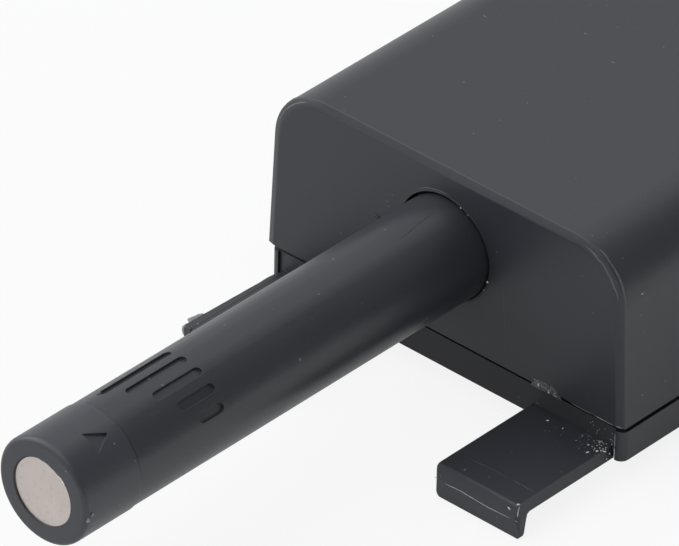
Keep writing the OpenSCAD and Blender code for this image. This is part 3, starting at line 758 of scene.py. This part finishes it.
# %% [markdown]
# Two bright hairlines follow each rounded upper corner of the cover, one on each
# side of the shallow bevel. They are painted highlights: pale slivers where the
# bevel's edges catch the light. Their paths come from the same circle that rounds
# the cover's long upper edges, so they stay on the edge all the way round.

# %% Painted highlights on the upper corners
SIDE_LEAN = math.radians(2.5)
corner_r = 5.8
corner_z = cover_high.z / MM - corner_r
leant_in = math.tan(SIDE_LEAN) * (corner_z - cover_low.z / MM)
corner_mid_x = cover_high.x / MM - leant_in - corner_r / math.cos(SIDE_LEAN)


def corner_arc(side, inset, depth, first, last):
    """Places on the rounded upper corner, angles up from the side."""
    r = corner_r - inset
    return [
        (side * (corner_mid_x + r * math.cos(a)), cover_front + depth, corner_z + r * math.sin(a))
        for a in angles(first, last, 16)
    ]


def from_corner(side):
    """The way out of the rounded corner, leaning to the front."""
    def out(place):
        away = Vector((place.x - side * corner_mid_x, 0, place.z - corner_z)).normalized()
        return away + Vector((0, -1.1, 0))
    return out


# Painted highlight: a pale finish for the slivers on the bevel's edges.
corner_highlight_finish = flash_finish("painted_highlight_corner_edge", (0.105, 0.107, 0.118), gloss=0.34)
for side, name in ((1, "right"), (-1, "left")):
    inner = corner_arc(side, inset=0.42, depth=0.18, first=12, last=76)
    outer = corner_arc(side, inset=0.02, depth=0.58, first=12, last=68)
    out = from_corner(side)
    sliver_piece(f"painted_highlight_corner_{name}", [
        dict(corners=inner, up=out, width=0.27, height=0.05, seed=side + 91, sunk=0.06),
        dict(corners=outer, up=out, width=0.25, height=0.05, seed=side + 95, sunk=0.06),
    ], corner_highlight_finish, *ON_HOUSING)
print("burnished upper corners: 2 pieces, radius", corner_r, "mm")

# %% [markdown]
# Another bright line follows the cover's lower edge: a painted highlight, pale
# slivers where the rounded edge catches the light. It starts thin on the front,
# swells towards the corner, turns round it and fades out along the right side. Five
# short slivers, end to end, give each stretch its own width.

# %% Painted highlight on the lower edge
# Painted highlight: a pale finish for the slivers along the lower edge.
low_edge_highlight_finish = flash_finish("painted_highlight_low_edge", (0.26, 0.26, 0.28), gloss=0.34)
low_edge = seam / MM + 0.17
on_low_edge = on_front((15.0, low_edge), (17.6, low_edge), (19.9, low_edge))
round_corner = [on_low_edge[-1], (20.35, -43.05, 3.84), (20.74, -42.75, 3.76), (20.77, -42.3, 3.75)]
along_side = [(20.77, y, 3.75) for y in (-42.3, -38.5, -33.0)]
sliver_piece("painted_highlight_lower_edge", [
    dict(corners=on_low_edge[:2], up=FORWARD, width=0.05, height=0.02, seed=97, sunk=0.02),
    dict(corners=on_low_edge[1:], up=FORWARD, width=0.11, height=0.03, seed=98, sunk=0.02),
    dict(corners=round_corner, up=(0.7, -0.7, 0), width=0.17, height=0.03, seed=99),
    dict(corners=along_side[:2], up=RIGHT, width=0.13, height=0.02, seed=100, sunk=0.02),
    dict(corners=along_side[1:], up=RIGHT, width=0.05, height=0.015, seed=101, sunk=0.02),
], low_edge_highlight_finish, *ON_HOUSING)
print("burnished lower edge: 1 piece")

# %% [markdown]
# The left tab is a little wider than the right one: its mould gave it a thin strip
# along its outer side. A box would be too straight, so the strip is a bar with many
# cross sections whose outer corner wanders. Near its front end a tongue of pale
# flash lies on its top.

# %% Strip on the left tab
STRIP_EDGE, TAB_EDGE = 19.90, 19.55
STRIP_SEED = 111
strip_inside = -18.9
strip_low, strip_high = 0.1, tab_top + 0.01

outer_side = [(-54.98, -19.62), (-54.85, -19.80), (-54.6, -STRIP_EDGE), (-54.2, -19.92)]
outer_side += [(-54.0 + 0.4 * i, -STRIP_EDGE + 0.012 * i) for i in range(23)]
outer_side += [(-44.8, -19.64), (-44.4, -19.63), (-44.0, -19.61), (-43.6, -19.58)]
outer_side += [(-43.2, -TAB_EDGE)]
strip = bmesh.new()
rings = []
for y, x in outer_side:
    x -= 0.06 * (wander((0, y, 0), 1.3, STRIP_SEED) - 0.5)
    section = [
        (strip_inside, strip_low), (x + 0.12, strip_low), (x, strip_low + 0.15),
        (x, strip_high - 0.18), (x + 0.18, strip_high), (strip_inside, strip_high),
    ]
    rings.append([strip.verts.new(Vector((side_x, y, z)) * MM) for side_x, z in section])
skin(strip, rings)
new_piece("left_tab_strip", strip, plate_finish, *ON_HOUSING, crease=20)

tab_flash = flash_finish("thin_flash_tab", (0.26, 0.26, 0.27), gloss=0.40)
tongue = [
    (-19.8, -54.1, 1.12), (-19.95, -53.7, 1.10), (-20.02, -53.2, 1.10),
    (-19.92, -52.6, 1.10), (-19.8, -52.3, 1.12),
]
strip_end = [
    (-19.6, -55.0, 0.2), (-19.76, -54.98, 0.8), (-19.84, -54.85, 1.05), (-19.86, -54.4, 1.14),
]
sliver_piece("left_tab_flash", [
    dict(corners=tongue, up=UPWARD, width=0.62, height=0.03, seed=85),
    dict(corners=strip_end, up=(-0.3, -0.6, 0.7), width=0.42, height=0.03, seed=86),
], tab_flash, *ON_HOUSING)
print("strip on the left tab:", round(STRIP_EDGE - TAB_EDGE, 2), "mm wide")

# %% [markdown]
# The plate's front wall ends in a thin bead close under the cover's edge, which
# leaves only a hairline of shadow there. Over the right tab and between the tabs
# the wall is made darker as painted shade: over the right tab by a duller skin, and
# between the tabs by a darker colour, where the wall lies in shade and mirrors the
# shaded table. A finish on the whole plate couldn't tell the two stretches apart,
# so the bead and the two faces are skins that stand a few hundredths of a
# millimetre proud of the ready made plate.

# %% Bead and painted shade on the plate's front wall
WALL_Y = -42.55
WALL_HALF = 19.68
BEAD_LOW, BEAD_TOP = 2.90, 3.10
RIGHT_TAB_STARTS, LEFT_TAB_ENDS = 10.35, -9.8


def wall_skin(name, low, high, cuts, waver, seed, finish):
    """A long low block, cut into short lengths so that its surface can wander. In mm."""
    form = bmesh.new()
    bmesh.ops.create_cube(form, size=1.0)
    low, high = Vector(low), Vector(high)
    for vert in form.verts:
        share = [side + 0.5 for side in vert.co]
        vert.co = Vector([low[i] + share[i] * (high[i] - low[i]) for i in range(3)])
    long_edges = [e for e in form.edges if abs(e.verts[0].co.x - e.verts[1].co.x) > 0.1]
    bmesh.ops.subdivide_edges(form, edges=long_edges, cuts=cuts, use_grid_fill=True)
    for vert in form.verts:
        vert.co += Vector((0, 1, 1)) * waver * (wander(vert.co, 0.8, seed) - 0.5)
        vert.co *= MM
    new_piece(name, form, finish, *ON_HOUSING, crease=30)


low = (-WALL_HALF, WALL_Y, BEAD_LOW)
high = (WALL_HALF, WALL_Y + 0.15, BEAD_TOP)
wall_skin("front_wall_bead", low, high, cuts=60, waver=0.03, seed=71, finish=housing_finish)

# Painted shade: a duller skin over the right tab, where the wall lies in shade.
dull_shade_colour = (0.026, 0.0265, 0.031)
dull_shade = moulded_plastic("housing_plastic_pocket_shade", dull_shade_colour, gloss=0.66, grain=0.010, dust=0.0)
low = (RIGHT_TAB_STARTS, WALL_Y - 0.03, tab_top - 0.02)
high = (WALL_HALF, WALL_Y + 0.1, BEAD_TOP)
wall_skin("painted_shade_over_right_tab", low, high, cuts=30, waver=0.02, seed=76, finish=dull_shade)

# Painted shade: a darker skin between the tabs, where the wall mirrors the shaded table.
between_tabs_shade_colour = (0.012, 0.0125, 0.0155)
between_tabs_shade = moulded_plastic("housing_plastic_painted_shade", between_tabs_shade_colour, gloss=0.52, grain=0.006, dust=0.1)
low = (LEFT_TAB_ENDS, WALL_Y - 0.02, 0.02)
high = (RIGHT_TAB_STARTS, WALL_Y + 0.1, BEAD_TOP - 0.01)
wall_skin("painted_shade_between_tabs", low, high, cuts=30, waver=0.01, seed=77, finish=between_tabs_shade)
print("front wall: bead, rough face and worn face")

# %% [markdown]
# Near the middle of the seam a lump of flash has been pushed up over the cover's
# edge. It is a small ragged sheet: a grid that is pressed on to the front, thick in
# its middle and thin at its torn edges. A ridge along a path would look too even.

# %% Lump of flash on the seam
LUMP_LEFT, LUMP_RIGHT = 10.3, 13.9
LUMP_LOW, LUMP_HIGH = 3.55, 4.55
LUMP_HEIGHT = 0.16
LUMP_SEED = 81
GRID_ACROSS, GRID_UP = 44, 16
SHEET_THICKNESS = 0.03

lump = bmesh.new()
rows = []
for i in range(GRID_ACROSS + 1):
    u = i / GRID_ACROSS
    x = LUMP_LEFT + u * (LUMP_RIGHT - LUMP_LEFT)
    ragged = 0.75 + 0.5 * wander((x, 0, 0), 2.1, LUMP_SEED)
    row = []
    for j in range(GRID_UP + 1):
        v = j / GRID_UP
        z = LUMP_LOW + v * (LUMP_HIGH - LUMP_LOW) * ragged * (1 - abs(2 * u - 1) ** 4)
        bulk = max(0.0, 1 - (2 * u - 1) ** 4) * max(0.0, 1 - (2 * v - 1) ** 2)
        lumps = wander((x, cover_front, z), 3.2, LUMP_SEED + 1) ** 2 * 2.2
        out = LUMP_HEIGHT * bulk * lumps - 0.02
        row.append(lump.verts.new((x * MM, (cover_front - out) * MM, z * MM)))
    rows.append(row)
for a, b in zip(rows, rows[1:]):
    for j in range(GRID_UP):
        lump.faces.new((a[j], b[j], b[j + 1], a[j + 1]))

seam_finish = flash_finish("thin_flash_seam", (0.085, 0.087, 0.095), gloss=0.30)
seam_flash = new_piece("seam_flash", lump, seam_finish, *ON_HOUSING)
solid = seam_flash.modifiers.new("sheet", "SOLIDIFY")
solid.thickness = SHEET_THICKNESS * MM
solid.offset = -1
print("seam flash:", round(LUMP_RIGHT - LUMP_LEFT, 1), "mm long")

# %% [markdown]
# Dust and crumbs of plastic are small solid lumps, not paint, because each one
# catches light on one side and throws a shadow on the other. A crumb is a ball of
# triangles whose points are pushed in and out by noise. One seeded dice turns them,
# so the same crumbs fall every time that the script runs.

# %% Crumbs
FLATNESS = 0.4
LIFT = 0.08
dice = random.Random(944)


def crumb_finish(name, dark, bright):
    finish, tree, shader = new_finish(name)
    join(tree, tint(tree, cloud(tree, 5.0), dark, bright), shader.inputs["Base Color"])
    join(tree, spread(tree, cloud(tree, 9.0), 0.35, 0.6), shader.inputs["Roughness"])
    return finish


def add_crumb(form, place, out, size, long=1.0):
    """A lump of size mm, pressed flat on the surface and turned at random."""
    made = bmesh.ops.create_icosphere(form, subdivisions=2, radius=0.5)["verts"]
    out = Vector(out).normalized()
    spin = Matrix.Rotation(dice.uniform(0, math.tau), 3, "Z")
    turn = out.to_track_quat("Z", "Y").to_matrix() @ spin
    seed = dice.uniform(0, 50)
    for vert in made:
        swell = 0.35 + 1.3 * wander(vert.co, 2.6, seed)
        local = Vector((vert.co.x * long, vert.co.y, vert.co.z * FLATNESS)) * size * swell
        vert.co = (Vector(place) + out * size * LIFT + turn @ local) * MM


def crumb_piece(name, crumbs, finish, body, slot):
    form = bmesh.new()
    for crumb in crumbs:
        add_crumb(form, *crumb)
    new_piece(name, form, finish, body, slot)


def lying(x, y, size, long=1.0):
    """A crumb on top of a tab."""
    return (x, y, tab_top), UPWARD, size, long


def facing(x, y, z, size, long=1.0):
    """A crumb on a face that looks forward."""
    return (x, y, z), FORWARD, size, long


# The pale crumb finish also paints glints.
pale_crumb_and_glint = crumb_finish("crumb_pale_and_glint", (0.42, 0.42, 0.44), (0.80, 0.80, 0.80))
dull_crumb = crumb_finish("crumb_dull", (0.06, 0.06, 0.065), (0.16, 0.16, 0.17))
near_black_finish = crumb_finish("near_black_lump", (0.004, 0.004, 0.004), (0.012, 0.012, 0.012))
print("crumb finishes:", pale_crumb_and_glint.name, dull_crumb.name, near_black_finish.name)

# %% [markdown]
# The crumbs that the eye finds first are put where the picture shows them: most of
# them lie in the corner between the right tab and the plate, where the cover was
# pushed on. Some of the pale ones are painted glints: on the lip's front, on the
# tab's and the plate's right corner and on the hole's rim they stand where an edge
# catches the light. Each has a place, a size and, where it isn't round, how many
# times longer it is than wide. On other faces it also says which way the face looks.

# %% Crumbs that are seen one by one
# The crumbs on the lip's front, on the tab's front corner and at the plate's corner edge are
# painted glints.
corner_crumbs_and_glints = [
    lying(17.76, -43.97, 0.17), lying(18.42, -44.85, 0.20, 1.6), lying(18.91, -44.17, 0.24),
    lying(19.42, -43.75, 0.20, 1.5), ((19.55, -43.25, 0.80), RIGHT, 0.15),
    ((19.55, -43.60, 0.40), RIGHT, 0.14), facing(19.25, -42.60, 1.30, 0.13),
    lying(12.80, -43.68, 0.16, 1.6), facing(18.46, -55.02, 0.58, 0.17, 1.9),
    ((19.20, -54.72, 1.18), UPWARD, 0.20, 1.6), facing(19.72, -42.85, 0.35, 0.20, 1.3),
    lying(-19.0, -53.87, 0.13),
]
plate_crumbs = [
    lying(13.70, -44.97, 0.13, 1.4), lying(13.95, -44.76, 0.12), lying(15.07, -44.49, 0.12),
    lying(16.54, -43.49, 0.15, 1.5), lying(16.62, -42.86, 0.15), lying(17.33, -42.95, 0.12),
    facing(17.53, -42.60, 1.73, 0.13), lying(18.72, -48.58, 0.12),
    facing(8.50, WALL_Y, 1.02, 0.12), facing(10.16, WALL_Y, 0.20, 0.14, 1.8),
    facing(10.69, -42.60, 1.45, 0.15, 1.6), facing(7.14, WALL_Y, 0.35, 0.11),
    facing(10.60, -55.02, 0.11, 0.13), lying(-18.7, -44.95, 0.14, 1.8),
]
cover_crumbs = [
    facing(5.06, -43.2, 10.24, 0.12), facing(6.04, -43.2, 15.42, 0.13),
    facing(6.32, -43.2, 10.53, 0.12), facing(-3.90, -43.2, 18.89, 0.12),
    facing(-6.62, -43.2, 14.71, 0.14, 2.0), ((-5.10, -41.21, 21.14), UPWARD, 0.14),
    facing(-6.4, -43.2, 14.3, 0.12, 2.0),
]
# The four crumbs round the hole's rim are painted glints.
rim_crumbs_and_glints = [
    facing(1.75, -43.16, 17.96, 0.14, 1.3), facing(2.58, -43.16, 17.58, 0.12),
    ((20.24, -40.56, 16.49), (1, 0, 0.15), 0.14), facing(5.04, -43.17, 11.77, 0.20, 1.6),
    facing(4.66, -43.17, 10.78, 0.15), facing(11.3, -43.3, 4.05, 0.18, 1.8),
    facing(12.5, -43.3, 3.80, 0.16, 1.4), facing(13.3, -43.26, 3.72, 0.10),
]
tip_crumbs = [
    ((5.02, -93.2, 12.55), (1, -0.5, 0), 0.30, 1.6), ((5.15, -92.8, 13.0), RIGHT, 0.24, 1.5),
    ((4.92, -92.7, 11.45), (1, 0, -0.3), 0.22), ((3.3, -88.2, 16.95), (0.65, 0, 0.75), 0.14),
]
plunger_crumbs = [
    ((-1.9, -84.6, 17.72), (-0.38, 0, 0.92), 0.26, 1.6),
    ((1.2, -70.3, 17.95), (0.24, 0, 0.97), 0.08),
]
large_crumbs = corner_crumbs_and_glints + plate_crumbs + cover_crumbs + rim_crumbs_and_glints
print("crumbs that are seen one by one:", len(large_crumbs + tip_crumbs + plunger_crumbs))

# %% [markdown]
# The smallest crumbs are too many to place by hand. The dice scatters them, most
# densely in the right tab's corner and thinner away from it, some on the wall above
# it, and some along the lump of flash that they were torn from.

# %% Scattered crumbs
SCATTER_BACK = -42.7
SMALLEST_LYING, SMALLEST_FACING = 0.05, 0.04


def scatter_lying(count, edge, spread_x, spread_y, largest):
    """Tiny crumbs on the right tab, densest in its corner."""
    crumbs = []
    for _ in range(count):
        x = edge - abs(dice.gauss(0, spread_x))
        y = SCATTER_BACK - abs(dice.gauss(0, spread_y))
        crumbs.append(lying(x, y, dice.uniform(SMALLEST_LYING, largest), dice.uniform(1, 2)))
    return crumbs


def scatter_facing(count, across, y, upwards, largest, long):
    """Tiny crumbs on a face that looks forward."""
    crumbs = []
    for _ in range(count):
        x, z = dice.uniform(*across), dice.uniform(*upwards)
        crumbs.append(facing(x, y, z, dice.uniform(SMALLEST_FACING, largest), long))
    return crumbs


tiny_bright = scatter_lying(34, edge=19.3, spread_x=1.1, spread_y=0.9, largest=0.10)
tiny_bright += scatter_facing(12, (16.5, 19.4), -42.6, (1.3, 2.6), largest=0.08, long=1.3)
for _ in range(14):
    u = dice.random()
    x, z = 10.6 + 3.0 * u, 4.35 - 0.55 * u + dice.uniform(-0.2, 0.2)
    size = dice.uniform(SMALLEST_FACING, 0.09)
    tiny_bright.append(facing(x, cover_front - 0.06, z, size, 1.4))
plate_crumbs += scatter_lying(46, edge=19.4, spread_x=2.0, spread_y=1.2, largest=0.11)
plate_crumbs += scatter_facing(16, (5.5, 10.2), WALL_Y, (0.1, 2.6), largest=0.09, long=1.4)

# Pale crumbs: dust, and painted glints on edges and the hole's rim.
bright_crumbs_and_glints = corner_crumbs_and_glints + rim_crumbs_and_glints + tiny_bright
# One near-black lump sits on the cover's front, left of the hole and next to the plunger.
dark_lumps = [facing(-7.7, -43.2, 12.5, 0.45, 1.8)]
crumb_piece("bright_crumbs_and_glints", bright_crumbs_and_glints, pale_crumb_and_glint, *ON_HOUSING)
crumb_piece("dull_crumbs_on_plate", plate_crumbs, dull_crumb, *ON_HOUSING)
crumb_piece("dull_crumbs_on_cover", cover_crumbs, dull_crumb, *ON_HOUSING)
crumb_piece("dull_crumbs_on_tip", tip_crumbs, tab_flash, "tip", "plunger_plastic")
crumb_piece("crumbs_on_plunger", plunger_crumbs, dull_crumb, *ON_PLUNGER)
crumb_piece("dark_lump_beside_hole", dark_lumps, near_black_finish, *ON_HOUSING)
print("crumbs on the housing:", len(bright_crumbs_and_glints + plate_crumbs + cover_crumbs + dark_lumps))

# %% [markdown]
# The magnet is a short nickel plated rod, glued into the head. Its edge was
# tumbled round before plating, so it mirrors a thin line and no broad band. It is
# turned as on a lathe: a profile of radius and depth, swept round the plunger's
# axis. A plain cylinder with a bevel would do as well, but the sweep serves the
# glue too. The rings on the flat face keep its shading flat.

# %% Magnet
AROUND = 96
MAGNET_INSET = 0.13
EDGE_R = 0.06


def turned(form, profile, y):
    """Sweeps (radius, depth) points about the plunger's axis. A radius of 0 is one point."""
    rings = []
    for radius, depth in profile:
        if radius == 0:
            rings.append([form.verts.new((0, (y + depth) * MM, axis_z))])
            continue
        ring = []
        for i in range(AROUND):
            a = math.tau * i / AROUND
            x, up = radius * math.sin(a) * MM, radius * math.cos(a) * MM
            ring.append(form.verts.new((x, (y + depth) * MM, axis_z + up)))
        rings.append(ring)
    for a, b in zip(rings, rings[1:]):
        for i in range(AROUND):
            k = (i + 1) % AROUND
            corners = [a[i % len(a)], a[k % len(a)], b[k % len(b)], b[i % len(b)]]
            form.faces.new(list(dict.fromkeys(corners)))


magnet_r = (magnet_high.x - magnet_low.x) / 2 / MM
head_front = head_low.y / MM
magnet_front = head_front + MAGNET_INSET
magnet_l = magnet_high.y / MM - magnet_front
face = [(0, 0), (1.2, 0), (2.4, 0), (magnet_r - 0.3, 0)]
rounding = [
    (magnet_r - EDGE_R + EDGE_R * math.sin(a), EDGE_R - EDGE_R * math.cos(a))
    for a in angles(0, 90, 6)
]
back = [(magnet_r, magnet_l - 0.1), (magnet_r - 0.1, magnet_l), (0, magnet_l)]
magnet_form = bmesh.new()
turned(magnet_form, face + rounding + back, magnet_front)
magnet = new_piece("plated_magnet", magnet_form, nickel_finish, "tip_carrier", "nickel")
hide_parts("magnet")
print("magnet's radius in mm:", round(magnet_r, 2))

# %% [markdown]
# A ring of brown glue shows in the gap round the magnet, and on the upper right the
# head's plastic laps over the magnet's edge a little. Where it ends, a few flat
# crumbs of paler nickel make a glint: their many small faces find the lamp better
# than one smooth ridge does, and their paler colour adds a painted highlight.

# %% Glue, overlap and bright edge
OVERLAP_R, BRIGHT_R = 3.27, 3.08

glue_finish, tree, shader = new_finish("glue_brown")
brown = tint(tree, cloud(tree, 1.6, 3.0), (0.020, 0.012, 0.009), (0.055, 0.034, 0.026))
join(tree, brown, shader.inputs["Base Color"])
join(tree, spread(tree, cloud(tree, 3.0), 0.25, 0.5), shader.inputs["Roughness"])
glue = [
    (magnet_r + 0.002, 0.30), (magnet_r + 0.004, 0.04),
    (magnet_r + 0.05, 0.03), (magnet_r + 0.055, 0.30),
]
glue_form = bmesh.new()
turned(glue_form, glue, head_front)
new_piece("magnet_glue", glue_form, glue_finish, *ON_TIP)

overlap = [about_axis(OVERLAP_R, a, head_front + 0.05) for a in angles(-6, 44, 10)]
sliver_piece("magnet_overlap", [
    dict(corners=overlap, up=FORWARD, width=0.42, height=0.05, seed=121, sunk=0.12),
], head_finish, *ON_TIP)

bright_spots = [
    (about_axis(BRIGHT_R, math.radians(degrees), magnet_front), FORWARD, size, 1.5)
    for degrees, size in ((34, 0.20), (39, 0.26), (44, 0.30), (49, 0.24), (53, 0.16))
]
# Painted highlight: this nickel is paler than the magnet's, to make the glint.
glint_colour = (0.80, 0.76, 0.70)
glint_finish = metal("nickel_painted_glint", glint_colour, gloss=0.24, stretch=EVENLY, pits=0.0)
crumb_piece("magnet_glint_crumbs", bright_spots, glint_finish, "tip_carrier", "nickel")
print("glue, overlap and bright edge: 3 pieces")

# %% [markdown]
# The main spring is ready made as a coarse coil. A wound spring is smooth, its end
# coils lie flat, and it shortens when the plunger goes in. The finer coil stands
# in its place: a ring of points, swept along a helix whose rise is slow at both
# ends.

# %% Main spring
COILS, FLAT_COILS = 22, 1.5
COIL_GAP = 0.02
PER_TURN, SIDES = 36, 12
wire_r = 0.35
spring_low, spring_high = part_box("main_spring")
coil_r = (spring_high.x - spring_low.x) / 2 / MM - wire_r
first_y, last_y = spring_low.y / MM + wire_r, spring_high.y / MM - wire_r
flat_rise = FLAT_COILS * (2 * wire_r + COIL_GAP)


def coil_rise(turns):
    """How far along the axis the wire is after some turns, in mm."""
    if turns < FLAT_COILS:
        return flat_rise * turns / FLAT_COILS
    if turns > COILS - FLAT_COILS:
        return last_y - first_y - flat_rise * (COILS - turns) / FLAT_COILS
    free = last_y - first_y - 2 * flat_rise
    return flat_rise + free * (turns - FLAT_COILS) / (COILS - 2 * FLAT_COILS)


spring_form = bmesh.new()
rings = []
for i in range(COILS * PER_TURN + 1):
    turns = i / PER_TURN
    a = math.tau * turns
    ring = []
    for j in range(SIDES):
        b = math.tau * j / SIDES
        r = coil_r + wire_r * math.cos(b)
        x, up = r * math.cos(a) * MM, r * math.sin(a) * MM
        y = first_y + coil_rise(turns) + wire_r * math.sin(b)
        ring.append(spring_form.verts.new((x, y * MM, axis_z + up)))
    rings.append(ring)
skin(spring_form, rings)
spring = new_piece("wound_spring", spring_form, steel_finish, "housing", "spring_steel")
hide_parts("main_spring")
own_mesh(spring)

# %% [markdown]
# The last cell prints how large the catch is in its dress.

# %% Size and end
low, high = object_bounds()
print("dressed size in mm:", [round(side * 1000, 2) for side in high - low])
